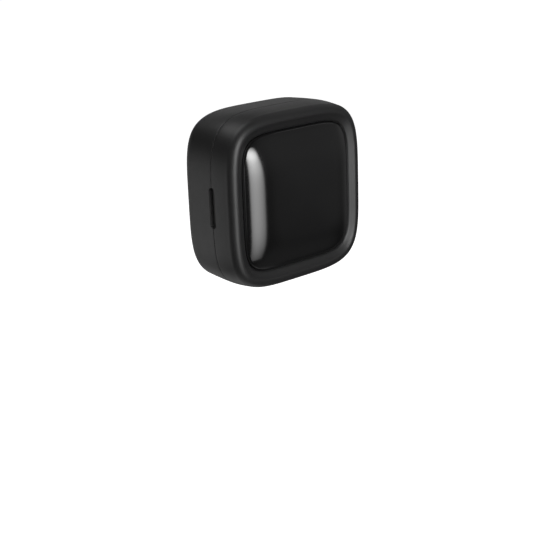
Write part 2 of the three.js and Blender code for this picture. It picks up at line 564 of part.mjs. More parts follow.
piece(lid, 'battery_tape', batteryTape, 'foam');
piece(lid, 'charge_board', chargeBoard, 'boardGreen');
piece(lid, 'usb_socket', usbSocket, 'steel');
piece(lid, 'charger_chip', box(6.9, 9.7, -6.8, -6.02, -25.4, -22.6), 'chip');
piece(lid, 'charge_ribbon', ribbon, 'polyimide');
piece(lid, 'lid_magnet_upper', rod('y', ...MAGNETS[0], 2.2, -7.0, -5.0, 18), 'magnet');
piece(lid, 'lid_magnet_lower', rod('y', ...MAGNETS[1], 2.2, -7.0, -5.0, 18), 'magnet');
piece(lid, 'throat_seal_front', frontSeal, 'silicone');
corners.forEach(([x, z], i) => piece(lid, `lid_screw_${i + 1}`, screw(x, z, -3.98, -1), 'steel'));
PADS.forEach(([x, z], i) => piece(lid, `stop_pad_${i + 1}`, rod('y', x, z, 1.2, -9.3, -8.5, 14), 'silicone'));

piece(button, 'button_panel', panel, 'glossBlack');
piece(button, 'button_frame', panelFrame, 'innerBlack');
piece(button, 'switch_stem', switchStem, 'silicone');

export default product;
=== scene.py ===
import math

import bpy
import numpy as np
from mathutils import Matrix, Vector


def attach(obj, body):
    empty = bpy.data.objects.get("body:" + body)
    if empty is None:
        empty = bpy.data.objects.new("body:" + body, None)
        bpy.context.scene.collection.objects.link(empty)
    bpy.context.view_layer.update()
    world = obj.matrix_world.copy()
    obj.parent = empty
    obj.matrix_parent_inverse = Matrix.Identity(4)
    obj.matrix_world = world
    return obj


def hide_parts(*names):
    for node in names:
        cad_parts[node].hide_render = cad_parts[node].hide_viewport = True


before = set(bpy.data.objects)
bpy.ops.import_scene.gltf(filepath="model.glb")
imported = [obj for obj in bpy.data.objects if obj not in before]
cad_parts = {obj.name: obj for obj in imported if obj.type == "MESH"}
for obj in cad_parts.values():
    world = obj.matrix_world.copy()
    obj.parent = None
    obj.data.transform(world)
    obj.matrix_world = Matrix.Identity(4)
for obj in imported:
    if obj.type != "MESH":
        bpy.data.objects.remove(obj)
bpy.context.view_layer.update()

# Working numbers are millimetres from the middle of the casing: X right, Y to the
# rear, Z up. SHIFT takes them to the frame, whose origin is the casing's bottom.
MM = 0.001
SHIFT = np.array([0.0, 1.48, 29.6])
HALF, NSQ = 30.0, 4.17
RIM, BACK, PART = -13.345, 13.88, -3.61
R_BACK, DRAFT_F, DRAFT_B = 6.07, 0.59, 0.54
# The rim's section by tilt: 88 degrees at the wall, TURN where the rounding eases,
# level on the rim line, then down the slope SLOPE0 to SLOPE1 into the well.
R_OUTER, TURN, R_LINE, R_INNER, SLOPE0, SLOPE1 = 3.0, 25.0, 2.5, 1.3, 37.0, 21.0
WELL_INSET, WELL_N, WELL_WIDE = 6.46, 5.4, 0.41
# The panel's section: tilt 80 at the edge, then (tilt at the end, radius) arcs.
PANEL_GAP, PANEL_EDGE, PANEL_START = 0.20, -11.75, 80.0
PANEL_ARCS = ((39.0, 1.75), (26.0, 14.0), (15.0, 20.0), (4.0, 20.0))
PANEL_WALL = 1.1
GAP = 0.10                       # shadow gap at the parting line
HX, HY = 29.15, PART             # hinge axis
NECK_Y = 5.1

# ------------------------------------------------------------------ camera
AZ, EL, ROLL, FPX, DIST, TX, TZ = -40.99, 18.53, -2.06, 1165.62, 401.33, -6.03, -90.37


def make_camera():
    a, e, r = math.radians(AZ), math.radians(EL), math.radians(ROLL)
    back = Vector((math.sin(a) * math.cos(e), -math.cos(a) * math.cos(e), math.sin(e)))
    fwd = -back
    right = fwd.cross(Vector((0, 0, 1))).normalized()
    up = right.cross(fwd)
    r2 = right * math.cos(r) + up * math.sin(r)
    u2 = up * math.cos(r) - right * math.sin(r)
    c = r2 * (-TX * DIST / FPX) + u2 * (TZ * DIST / FPX) + fwd * (-DIST)
    c = (c + Vector(SHIFT)) * MM
    cam = bpy.data.cameras.new("camera")
    ob = bpy.data.objects.new("camera", cam)
    bpy.context.scene.collection.objects.link(ob)
    cam.sensor_width = 36
    cam.lens = FPX / 560 * 36
    cam.clip_start = 0.01
    cam.clip_end = 50
    cam.dof.use_dof = False
    ob.matrix_world = Matrix((
        (r2.x, u2.x, -fwd.x, c.x), (r2.y, u2.y, -fwd.y, c.y), (r2.z, u2.z, -fwd.z, c.z), (0, 0, 0, 1)))
    bpy.context.scene.camera = ob


make_camera()


# ------------------------------------------------------------------ mesh tools
def mesh_object(name, verts, faces, sharp=30.0):
    me = bpy.data.meshes.new(name)
    v = (np.asarray(verts, float) + SHIFT) * MM
    me.from_pydata(v.tolist(), [], [tuple(int(i) for i in f) for f in faces])
    me.validate()
    ob = bpy.data.objects.new(name, me)
    bpy.context.scene.collection.objects.link(ob)
    outward(ob)
    smooth(ob, sharp)
    return ob


def outward(ob):
    """Face normals consistent and outwards, by the sign of the volume."""
    import bmesh
    bm = bmesh.new()
    bm.from_mesh(ob.data)
    bmesh.ops.recalc_face_normals(bm, faces=bm.faces)
    if bm.calc_volume(signed=True) < 0:
        bmesh.ops.reverse_faces(bm, faces=bm.faces)
    bm.to_mesh(ob.data)
    bm.free()


def smooth(ob, angle=30.0):
    """Smooth shading with the edges sharper than angle kept sharp."""
    import bmesh
    bm = bmesh.new()
    bm.from_mesh(ob.data)
    lim = math.radians(angle)
    for f in bm.faces:
        f.smooth = True
    for e in bm.edges:
        e.smooth = not (len(e.link_faces) == 2 and e.calc_face_angle(0.0) > lim) and len(e.link_faces) == 2
    bm.to_mesh(ob.data)
    bm.free()


def loft(name, loops, ring=False, cap0=True, cap1=True, sharp=30.0):
    """Joins equal loops of points one after the other; ring closes the last on the first."""
    n = len(loops[0])
    verts = np.vstack(loops)
    faces = []
    m = len(loops)
    for i in range(m if ring else m - 1):
        a, b = i * n, ((i + 1) % m) * n
        for j in range(n):
            k = (j + 1) % n
            faces.append((a + j, a + k, b + k, b + j))
    if not ring:
        if cap0:
            faces.append(tuple(range(n)))
        if cap1:
            faces.append(tuple(range((m - 1) * n, m * n)))
    return mesh_object(name, verts, faces, sharp)


def boolean(ob, cutters, op="DIFFERENCE", sharp=30.0):
    for c in cutters if isinstance(cutters, (list, tuple)) else [cutters]:
        m = ob.modifiers.new("b", "BOOLEAN")
        m.operation = op
        m.solver = "MANIFOLD"
        m.object = c
        dg = bpy.context.evaluated_depsgraph_get()
        new = bpy.data.meshes.new_from_object(ob.evaluated_get(dg))
        ob.modifiers.clear()
        old = ob.data
        ob.data = new
        bpy.data.meshes.remove(old)
        me = c.data
        bpy.data.objects.remove(c)
        bpy.data.meshes.remove(me)
    smooth(ob, sharp)
    return ob


# ---- the rounded-square outline, evenly spaced, and its inward offsets
def superellipse(half, n, t):
    c, s = np.cos(t), np.sin(t)
    return np.stack([half * np.sign(c) * np.abs(c) ** (2 / n), half * np.sign(s) * np.abs(s) ** (2 / n)], 1)


def even_t(half, n, count):
    t = np.linspace(0, 2 * np.pi, 24001)
    p = superellipse(half, n, t)
    l = np.r_[0, np.cumsum(np.hypot(*np.diff(p, axis=0).T))]
    return np.interp(np.linspace(0, l[-1], count, endpoint=False), l, t)


class Outline:
    def __init__(self, half, n, count, keep=8.0):
        self.half, self.n, self.keep = half, n, keep
        self.t = even_t(half, n, count)
        self.p = superellipse(half, n, self.t)
        g = np.sign(self.p) * np.abs(self.p / half) ** (n - 1)
        self.nrm = g / np.linalg.norm(g, axis=1, keepdims=True)

    def at(self, inset):
        k = min(inset, self.keep)
        q = self.p - self.nrm * k
        if inset > self.keep:
            q = q * (self.half - inset) / (self.half - self.keep)
        return q


def xz(loop, y):
    return np.stack([loop[:, 0], np.full(len(loop), float(y)), loop[:, 1]], 1)


def rounded_rect(u0, u1, v0, v1, r, seg=8):
    pts = []
    for cx, cy, a0 in ((u1 - r, v1 - r, 0), (u0 + r, v1 - r, 90), (u0 + r, v0 + r, 180), (u1 - r, v0 + r, 270)):
        for i in range(seg + 1):
            a = math.radians(a0 + 90 * i / seg)
            pts.append((cx + r * math.cos(a), cy + r * math.sin(a)))
    return np.array(pts)


def place(loop, axis, w):
    """A flat loop put across an axis: 'x' takes (y, z), 'y' takes (x, z), 'z' takes (x, y)."""
    w = np.full(len(loop), float(w))
    if axis == "x":
        return np.stack([w, loop[:, 0], loop[:, 1]], 1)
    if axis == "y":
        return np.stack([loop[:, 0], w, loop[:, 1]], 1)
    return np.stack([loop[:, 0], loop[:, 1], w], 1)


def slab(name, shape, axis, w0, w1, edge=0.15, seg=3, sharp=30.0):
    """shape(inset) gives a loop; its two rims are rounded by edge."""
    loops = []
    for i in range(seg + 1):
        a = math.pi / 2 * i / seg
        loops.append(place(shape(edge * (1 - math.sin(a))), axis, w0 + edge * (1 - math.cos(a))))
    for i in range(seg + 1):
        a = math.pi / 2 * (1 - i / seg)
        loops.append(place(shape(edge * (1 - math.sin(a))), axis, w1 - edge * (1 - math.cos(a))))
    return loft(name, loops, sharp=sharp)


def block(name, x0, x1, y0, y1, z0, z1, r=0.2, edge=0.1, axis="y"):
    if axis == "y":
        return slab(name, lambda i: rounded_rect(x0 + i, x1 - i, z0 + i, z1 - i, max(r - i, 0.01), 4), "y", y0, y1, edge)
    if axis == "z":
        return slab(name, lambda i: rounded_rect(x0 + i, x1 - i, y0 + i, y1 - i, max(r - i, 0.01), 4), "z", z0, z1, edge)
    return slab(name, lambda i: rounded_rect(y0 + i, y1 - i, z0 + i, z1 - i, max(r - i, 0.01), 4), "x", x0, x1, edge)


def turned(name, profile, axis, u, v, seg=40, sharp=30.0):
    """A lathe about a line along axis through (u, v): profile is (radius, w) pairs."""
    t = np.linspace(0, 2 * np.pi, seg, endpoint=False)
    loops = []
    for r, w in profile:
        r = max(r, 1e-4)
        loops.append(place(np.stack([u + r * np.cos(t), v + r * np.sin(t)], 1), axis, w))
    return loft(name, loops, sharp=sharp)


def merge(name, parts):
    """Separate closed bodies as one mesh."""
    for o in bpy.context.selected_objects:
        o.select_set(False)
    with bpy.context.temp_override(active_object=parts[0], selected_editable_objects=parts, object=parts[0]):
        bpy.ops.object.join()
    parts[0].name = name
    parts[0].data.name = name
    return parts[0]


# ------------------------------------------------------------------ materials
def new_material(name):
    m = bpy.data.materials.new(name)
    m.use_nodes = True
    nt = m.node_tree
    bsdf = nt.nodes["Principled BSDF"]
    return m, nt, bsdf


def node(nt, kind, **values):
    n = nt.nodes.new(kind)
    for k, v in values.items():
        if hasattr(n, k):
            setattr(n, k, v)
        else:
            n.inputs[k].default_value = v
    return n


def object_coords(nt, scale=1.0):
    tc = nt.nodes.new("ShaderNodeTexCoord")
    mp = nt.nodes.new("ShaderNodeMapping")
    mp.inputs["Scale"].default_value = (scale, scale, scale)
    nt.links.new(tc.outputs["Object"], mp.inputs["Vector"])
    return mp.outputs["Vector"]


def noise(nt, vec, scale, detail=3.0, rough=0.55):
    n = nt.nodes.new("ShaderNodeTexNoise")
    n.inputs["Scale"].default_value = scale
    n.inputs["Detail"].default_value = detail
    n.inputs["Roughness"].default_value = rough
    nt.links.new(vec, n.inputs["Vector"])
    return n.outputs["Fac"]


def remap(nt, value, lo, hi, a=0.0, b=1.0):
    n = nt.nodes.new("ShaderNodeMapRange")
    n.inputs["From Min"].default_value = a
    n.inputs["From Max"].default_value = b
    n.inputs["To Min"].default_value = lo
    n.inputs["To Max"].default_value = hi
    nt.links.new(value, n.inputs["Value"])
    return n.outputs["Result"]


def mix_colour(nt, fac, c0, c1):
    n = nt.nodes.new("ShaderNodeMix")
    n.data_type = "RGBA"
    n.inputs["A"].default_value = (*c0, 1)
    n.inputs["B"].default_value = (*c1, 1)
    nt.links.new(fac, n.inputs["Factor"])
    return n.outputs["Result"]


def bump(nt, bsdf, height, strength, distance):
    n = nt.nodes.new("ShaderNodeBump")
    n.inputs["Strength"].default_value = strength
    n.inputs["Distance"].default_value = distance
    nt.links.new(height, n.inputs["Height"])
    nt.links.new(n.outputs["Normal"], bsdf.inputs["Normal"])
    return n


def plastic(name, colour, rough, grain=0.0, grain_scale=9000.0, spread=0.03, tint=0.12, specular=0.5, ior=1.5):
    """Moulded plastic: fine spark-eroded grain, slow changes of gloss and tone."""
    m, nt, b = new_material(name)
    vec = object_coords(nt)
    slow = noise(nt, vec, 55.0, 2.0)
    nt.links.new(mix_colour(nt, slow, [c * (1 - tint) for c in colour], [c * (1 + tint) for c in colour]), b.inputs["Base Color"])
    mid = noise(nt, vec, 420.0, 4.0)
    nt.links.new(remap(nt, mid, rough - spread, rough + spread, 0.3, 0.7), b.inputs["Roughness"])
    b.inputs["Specular IOR Level"].default_value = specular
    b.inputs["IOR"].default_value = ior
    if grain:
        bump(nt, b, noise(nt, vec, grain_scale, 2.0, 0.6), grain, 0.00002)
    return m


def metal(name, colour, rough, streak=(1, 1, 1), spread=0.06, metallic=1.0):
    """Bare metal with fine streaks along one direction."""
    m, nt, b = new_material(name)
    tc = nt.nodes.new("ShaderNodeTexCoord")
    mp = nt.nodes.new("ShaderNodeMapping")
    mp.inputs["Scale"].default_value = streak
    nt.links.new(tc.outputs["Object"], mp.inputs["Vector"])
    f = noise(nt, mp.outputs["Vector"], 900.0, 4.0)
    nt.links.new(mix_colour(nt, f, [c * 0.93 for c in colour], colour), b.inputs["Base Color"])
    nt.links.new(remap(nt, f, rough - spread, rough + spread, 0.3, 0.7), b.inputs["Roughness"])
    b.inputs["Metallic"].default_value = metallic
    return m


MAT = {}
MAT["casing"] = plastic("satin_casing", (0.0155, 0.0155, 0.0158), 0.455, grain=0.25, grain_scale=5200.0, spread=0.015, tint=0.10, specular=0.55)
MAT["panel"] = plastic("gloss_panel", (0.0075, 0.0075, 0.0077), 0.13, grain=0.0, spread=0.005, tint=0.10, specular=0.9)
MAT["inner"] = plastic("inner_plastic", (0.030, 0.030, 0.032), 0.52, grain=0.35, grain_scale=4200.0)
MAT["silicone"] = plastic("silicone", (0.030, 0.030, 0.032), 0.62, grain=0.3, grain_scale=2600.0, spread=0.05)
MAT["reflector"] = metal("reflector", (0.86, 0.87, 0.88), 0.16, spread=0.04)
MAT["steel"] = metal("steel", (0.60, 0.60, 0.61), 0.28, streak=(1, 1, 12))
MAT["magnet"] = metal("nickel", (0.70, 0.69, 0.66), 0.2)
MAT["pouch"] = metal("foil_pouch", (0.60, 0.61, 0.63), 0.34, spread=0.1, metallic=0.9)
MAT["chip"] = plastic("chip_epoxy", (0.018, 0.018, 0.019), 0.5, grain=0.3, grain_scale=8000.0)
MAT["ceramic"] = plastic("led_ceramic", (0.78, 0.74, 0.64), 0.4, grain=0.15)
MAT["ferrite"] = plastic("ferrite", (0.07, 0.068, 0.07), 0.62, grain=0.6, grain_scale=3000.0)
MAT["foam"] = plastic("foam", (0.66, 0.65, 0.61), 0.9, grain=0.8, grain_scale=2400.0)
MAT["amber"] = plastic("amber_film", (0.42, 0.17, 0.03), 0.3)
MAT["contact"] = metal("gold_contact", (0.83, 0.62, 0.26), 0.25)


def board_material():
    """Green solder mask with a faint net of copper tracks under it."""
    m, nt, b = new_material("circuit_board")
    tc = nt.nodes.new("ShaderNodeTexCoord")
    sp = nt.nodes.new("ShaderNodeSeparateXYZ")
    nt.links.new(tc.outputs["Object"], sp.inputs["Vector"])
    cb = nt.nodes.new("ShaderNodeCombineXYZ")
    nt.links.new(sp.outputs["X"], cb.inputs["X"])
    nt.links.new(sp.outputs["Z"], cb.inputs["Y"])
    br = nt.nodes.new("ShaderNodeTexBrick")
    br.inputs["Scale"].default_value = 520.0
    br.inputs["Mortar Size"].default_value = 0.06
    br.inputs["Color1"].default_value = (0.010, 0.085, 0.040, 1)
    br.inputs["Color2"].default_value = (0.014, 0.105, 0.050, 1)
    br.inputs["Mortar"].default_value = (0.030, 0.170, 0.075, 1)
    nt.links.new(cb.outputs["Vector"], br.inputs["Vector"])
    nt.links.new(br.outputs["Color"], b.inputs["Base Color"])
    nt.links.new(remap(nt, noise(nt, tc.outputs["Object"], 700.0), 0.3, 0.42), b.inputs["Roughness"])
    bump(nt, b, br.outputs["Fac"], 0.3, 0.00002)
    return m


MAT["board"] = board_material()


def window_material():
    m, nt, b = new_material("clear_window")
    vec = object_coords(nt)
    nt.links.new(mix_colour(nt, noise(nt, vec, 60.0), (0.90, 0.94, 0.96), (0.95, 0.97, 0.98)), b.inputs["Base Color"])
    nt.links.new(remap(nt, noise(nt, vec, 300.0), 0.02, 0.06), b.inputs["Roughness"])
    b.inputs["Transmission Weight"].default_value = 1.0
    b.inputs["IOR"].default_value = 1.46
    return m


MAT["window"] = window_material()


def dress(ob, key, body, slot, *nodes):
    ob.data.materials.clear()
    ob.data.materials.append(MAT[key])
    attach(ob, body)
    if nodes:
        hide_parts(*nodes)
    return ob


# ------------------------------------------------------------------ casing
N = 240
CASE = Outline(HALF, NSQ, N)
T_CASE = CASE.t


def wide_ring(half, n, t):
    """A ring of the well or the panel, a little wider than it is high."""
    return superellipse(half, n, t) * [1 + WELL_WIDE / (HALF - WELL_INSET), 1]


WELL = wide_ring(HALF - WELL_INSET, WELL_N, T_CASE)


def well_ring(grow=0.0):
    """The well's outline, moved outwards by grow (inwards if negative)."""
    g = np.sign(WELL) * np.abs(WELL / [HALF - WELL_INSET + WELL_WIDE, HALF - WELL_INSET]) ** (WELL_N - 1)
    return WELL + g / np.linalg.norm(g, axis=1, keepdims=True) * grow


def smoothstep(x):
    x = min(max(x, 0.0), 1.0)
    return x * x * (3 - 2 * x)


def edge_rows(y_edge, sign, r=0.16, seg=4):
    """The rounded edge beside the shadow gap: from inset r on the edge to inset 0."""
    rows = []
    for i in range(seg + 1):
        a = math.pi / 2 * i / seg
        rows.append((r * (1 - math.sin(a)), y_edge + sign * r * (1 - math.cos(a))))
    return rows


lid_edge, base_edge = PART - GAP / 2, PART + GAP / 2


def rim_rows():
    """(inset, y, share of the slope) from the end of the wall to the well's edge."""
    def sn(a):
        return math.sin(math.radians(a))

    def cs(a):
        return math.cos(math.radians(a))

    line = DRAFT_F + R_LINE * sn(TURN) + R_OUTER * (sn(88) - sn(TURN))
    rows = []
    for k in range(19):
        a = 88 + (TURN - 88) * k / 18
        rows.append((line - R_LINE * sn(TURN) - R_OUTER * (sn(a) - sn(TURN)), RIM + R_LINE * (1 - cs(TURN)) + R_OUTER * (cs(TURN) - cs(a)), 0.0))
    for k in range(1, 9):
        a = TURN * (1 - k / 8)
        rows.append((line - R_LINE * sn(a), RIM + R_LINE * (1 - cs(a)), 0.0))
    for k in range(1, 9):
        a = SLOPE0 * k / 8
        rows.append((line + R_INNER * sn(a), RIM + R_INNER * (1 - cs(a)), 0.0))
    inset, y = rows[-1][:2]
    step = (WELL_INSET - inset) / 16
    for k in range(1, 17):
        y += step * math.tan(math.radians(SLOPE0 + (SLOPE1 - SLOPE0) * ((k - 0.5) / 16) ** 1.5))
        inset += step
        rows.append((inset, y, k / 16))
    return rows


def lid_outer_loops():
    loops = [xz(CASE.at(i), y) for i, y in edge_rows(lid_edge, -1)]
    rows = rim_rows()
    y0, y1 = lid_edge - 0.25, rows[0][1]
    for k in range(1, 10):
        f = k / 10
        loops.append(xz(CASE.at(DRAFT_F * f ** 1.6), y0 + (y1 - y0) * f))
    for inset, y, share in rows:
        w = smoothstep(share)
        loops.append(xz(CASE.at(inset) * (1 - w) + WELL * w, y))
    y = rows[-1][1]
    for k in range(1, 5):
        a = math.pi / 2 * k / 4
        loops.append(xz(well_ring(-0.15 * math.sin(a)), y + 0.02 + 0.15 * (1 - math.cos(a))))
    return loops


def core():
    """What lies inside the middle of the walls, to trim the fixtures that join them."""
    loops = [xz(CASE.at(0.95), -12.0), xz(CASE.at(0.95), 0.0), xz(CASE.at(1.2), BACK - R_BACK)]
    for k in range(1, 9):
        a, r = math.pi / 2 * k / 8, R_BACK - 0.9
        loops.append(xz(CASE.at(1.2 + r * (1 - math.cos(a))), BACK - R_BACK + r * math.sin(a)))
    return loft("core", loops)


def build_front_shell():
    loops = lid_outer_loops()
    loops += [xz(well_ring(-0.15), -11.25), xz(well_ring(-0.15), -10.95)]
    for i, y in ((4.4, -10.95), (3.3, -10.2), (2.55, -9.0), (2.2, -7.5), (2.6 * 0 + 2.0, -4.6), (0.75, -4.55), (0.75, lid_edge)):
        loops.append(xz(CASE.at(i), y))
    shell = loft("front_shell", loops, ring=True)
    inner = boolean(block("t1", 25.2, 29.9, -9.0, lid_edge, -19, 19, r=0.5), core(), "INTERSECT")
    boolean(shell, inner, "UNION")
    tongue_pts = np.array([(-5.5, -9.0), (5.5, -9.0), (5.45, PART), (5.2, -0.25), (4.95, 0.0), (-4.95, 0.0), (-5.2, -0.25), (-5.45, PART)])
    tongue = loft("t2", [place(tongue_pts * [0.985, 1], "z", -29.58), place(tongue_pts, "z", -29.4), place(tongue_pts, "z", -26.9)])
    boolean(shell, tongue, "UNION")
    boolean(shell, [relief("t3"), nail_slot("t4"), usb_mouth("t5")])
    for z0, z1 in ((-8.85, -3.15), (3.15, 8.85)):
        boolean(shell, knuckle("t6", z0, z1, -1), "UNION")
    boolean(shell, [pin_bore("t7"), foot("t8")], sharp=24)
    return shell


def build_rear_shell():
    loops = [xz(CASE.at(i), y) for i, y in edge_rows(base_edge, 1)]
    y0, y1 = base_edge + 0.25, BACK - R_BACK
    for k in range(1, 13):
        f = k / 12
        loops.append(xz(CASE.at(DRAFT_B * f ** 1.6), y0 + (y1 - y0) * f))
    for k in range(1, 23):
        s = math.pi / 2 * k / 22
        loops.append(xz(CASE.at(DRAFT_B + R_BACK * (1 - math.cos(s))), BACK - R_BACK * (1 - math.sin(s))))
    loops.append(xz(CASE.at(DRAFT_B + R_BACK + 1.5), BACK))
    outer = loft("rear_shell", loops)
    cav = [xz(CASE.at(1.7), base_edge - 3), xz(CASE.at(1.7), base_edge + 0.4), xz(CASE.at(2.3), BACK - R_BACK)]
    for k in range(1, 9):
        s = math.pi / 2 * k / 8
        cav.append(xz(CASE.at(2.3 + 4.2 * (1 - math.cos(s))), BACK - R_BACK + 4.2 * math.sin(s)))
    boolean(outer, loft("c", cav))
    lip = loft("lip", [xz(CASE.at(1.0), -4.2), xz(CASE.at(1.1), -4.3), xz(CASE.at(1.65), -4.3), xz(CASE.at(1.75), -4.2),
                       xz(CASE.at(1.75), -2.6), xz(CASE.at(1.0), -2.6)], ring=True)
    boolean(lip, block("c2", 24.5, 32, -8, 0, -19.3, 19.3))
    boolean(outer, lip, "UNION")
    boolean(outer, boolean(block("b1", 25.2, 29.9, base_edge, 2.5, -19, 19, r=0.5), core(), "INTERSECT"), "UNION")
    collar = boolean(block("b2", -8.6, 8.6, base_edge, 12.8, -30.5, -25.2, r=0.6, axis="z"), core(), "INTERSECT")
    boolean(outer, collar, "UNION")
    boolean(outer, [relief("t3"), nail_slot("t4"), notch("t5")])
    for z0, z1 in ((-15, -9.15), (-2.85, 2.85), (9.15, 15)):
        boolean(outer, knuckle("t6", z0, z1, 1), "UNION")
    boolean(outer, [pin_bore("t7"), foot("t8")], sharp=24)
    return outer


def foot(name):
    return block(name, -40, 40, -40, 40, -40, -29.6, r=1, edge=0.01)


def relief(name):
    """The trough round the hinge barrel, with a slimmer run past its ends."""
    prof = [(1.1, -18.6), (1.1, -15.55), (2.1, -15.4), (2.1, 15.4), (1.1, 15.55), (1.1, 18.6)]
    return turned(name, prof, "z", HX, HY, seg=40)


def pin_bore(name):
    return turned(name, [(0.85, -16), (0.85, 16)], "z", HX, HY, seg=32)


def knuckle(name, z0, z1, side):
    e = 0.18
    barrel = turned(name, [(1.7 - e, z0), (1.7, z0 + e), (1.7, z1 - e), (1.7 - e, z1)], "z", HX, HY, seg=48)
    y0, y1 = (HY, HY + 3.0) if side > 0 else (HY - 3.0, HY)
    arm = block("arm", 27.0, 29.95, y0, y1, z0, z1, r=0.2, edge=0.05)
    return boolean(barrel, arm, "UNION")


def stadium(half_l, half_w, seg=14):
    pts = []
    for i in range(seg + 1):
        a = math.pi * i / seg
        pts.append((half_w * math.cos(a), half_l - half_w + half_w * math.sin(a)))
    for i in range(seg + 1):
        a = math.pi + math.pi * i / seg
        pts.append((half_w * math.cos(a), -(half_l - half_w) + half_w * math.sin(a)))
    return np.array(pts)


def nail_slot(name):
    """A round-ended recess across the parting line, its mouth and floor rounded."""
    rows = [(-28.90, -0.35), (-28.93, -0.18), (-29.05, -0.06), (-29.25, 0.0), (-29.72, 0.0), (-29.86, 0.035), (-29.96, 0.12), (-30.02, 0.24), (-30.6, 0.7)]
    loops = []
    for x, g in rows:
        s = stadium(6.85 + g, 1.35 + g)
        loops.append(place(s + [PART, 0], "x", x))
    return loft(name, loops)


def usb_mouth(name):
    rows = [(-25.5, 0.0), (-28.9, 0.0), (-29.2, 0.04), (-29.42, 0.22), (-30.5, 0.9)]
    loops = []
    for z, g in rows:
        s = rounded_rect(15.2 - 4.75 - g, 15.2 + 4.75 + g, -6.8 - 1.9 - g, -6.8 + 1.9 + g, 1.85 + g * 0.9, 10)
        loops.append(place(s, "z", z))
    return loft(name, loops)


def notch_outline(r, taper, y_open):
    pts = [(r + taper, y_open), (r, 3.0), (r, NECK_Y)]
    for i in range(1, 33):
        a = math.pi * i / 32
        pts.append((r * math.cos(a), NECK_Y + r * math.sin(a)))
    pts += [(-r, 3.0), (-(r + taper), y_open)]
    return np.array(pts)


def notch(name):
    rows = [(-24.0, 0.0), (-29.05, 0.0), (-29.3, 0.06), (-29.5, 0.25), (-30.5, 1.2)]
    return loft(name, [place(notch_outline(5.8 + g, 0.33, PART - 3), "z", z) for z, g in rows])


front_shell = dress(build_front_shell(), "casing", "lid", "casing", "front_shell")
front_shell.name = "front_casing"
rear_shell = dress(build_rear_shell(), "casing", "base", "casing", "rear_shell")
rear_shell.name = "rear_casing"


# ------------------------------------------------------------------ push panel
def panel_rows(depth):
    """(inset, y) along the section from the edge inwards, moved inside by depth."""
    x, y, tilt = 0.0, PANEL_EDGE, math.radians(PANEL_START)
    rows = [(x + depth * math.sin(tilt), y + depth * math.cos(tilt))]
    for end, radius in PANEL_ARCS:
        start, stop = tilt, math.radians(end)
        n = max(4, int(abs(math.degrees(start - stop)) / 2))
        for k in range(1, n + 1):
            a = start + (stop - start) * k / n
            x += radius * (math.sin(tilt) - math.sin(a))
            y -= radius * (math.cos(a) - math.cos(tilt))
            tilt = a
            rows.append((x + depth * math.sin(a), y + depth * math.cos(a)))
    return rows


def build_panel():
    """A proud pillow: short upright edge, tight turn, long soft shoulder, slight crown."""
    h0 = HALF - WELL_INSET - PANEL_GAP
    t = even_t(h0, WELL_N, N)

    def ring(h):
        f = 1 - h / h0
        return wide_ring(max(h, 0.02), WELL_N + (3.8 - WELL_N) * min(1.0, f * 1.2), t)

    def crown(depth, steps):
        rows = panel_rows(depth)
        x, y = rows[-1]
        run, fall = h0 - x, math.tan(math.radians(PANEL_ARCS[-1][0]))
        return rows, [(h0 - run * (1 - k / steps), y - fall * run * (k / steps - (k / steps) ** 2 / 2)) for k in range(1, steps + 1)]

    outer, top = crown(0.0, 24)
    loops = [xz(ring(h0 - 1.2), -11.1), xz(ring(h0 - 0.1), -11.1), xz(ring(h0), -11.2)]
    loops += [xz(ring(h0 - i), y) for i, y in outer + top]
    inner, roof = crown(PANEL_WALL, 8)
    rows = [(1.25, -11.1), (1.25, PANEL_EDGE)] + [r for r in inner if r[0] > 1.3][::2] + roof
    return loft("panel", [xz(ring(h0 - i), y) for i, y in reversed(rows)] + loops, cap0=True, cap1=True)


panel = dress(build_panel(), "panel", "start_button", "panel", "button_panel")
panel.name = "push_panel"


# ------------------------------------------------------------------ chamber
MOUTH = Outline(20.3, 3.6, N, keep=4.0)
CORNERS = ((-22.3, 22.3), (22.3, 22.3), (22.3, -22.3), (-22.3, -22.3))


def mouth(r):
    return MOUTH.at(20.3 - r)


def arc(r0, y0, dr, dy, s0, s1, steps):
    """Points (r0 + dr sin s, y0 + dy cos s) for s from s0 to s1 degrees."""
    out = []
    for k in range(steps + 1):
        s = math.radians(s0 + (s1 - s0) * k / steps)
        out.append((r0 + dr * math.sin(s), y0 + dy * math.cos(s)))
    return out


def hinge_corner(name):
    return block(name, 24.9, 32, -12, 6, -19.3, 19.3, r=0.8, edge=0.02)


def drum(name, x, z, r, y0, y1, seg=40, lead=0.0):
    """A round cutter or boss along Y, its first rim opened out by lead."""
    prof = [(r + lead, y0), (r, y0 + lead), (r, y1)] if lead else [(r, y0), (r, y1)]
    return turned(name, prof, "y", x, z, seg=seg)


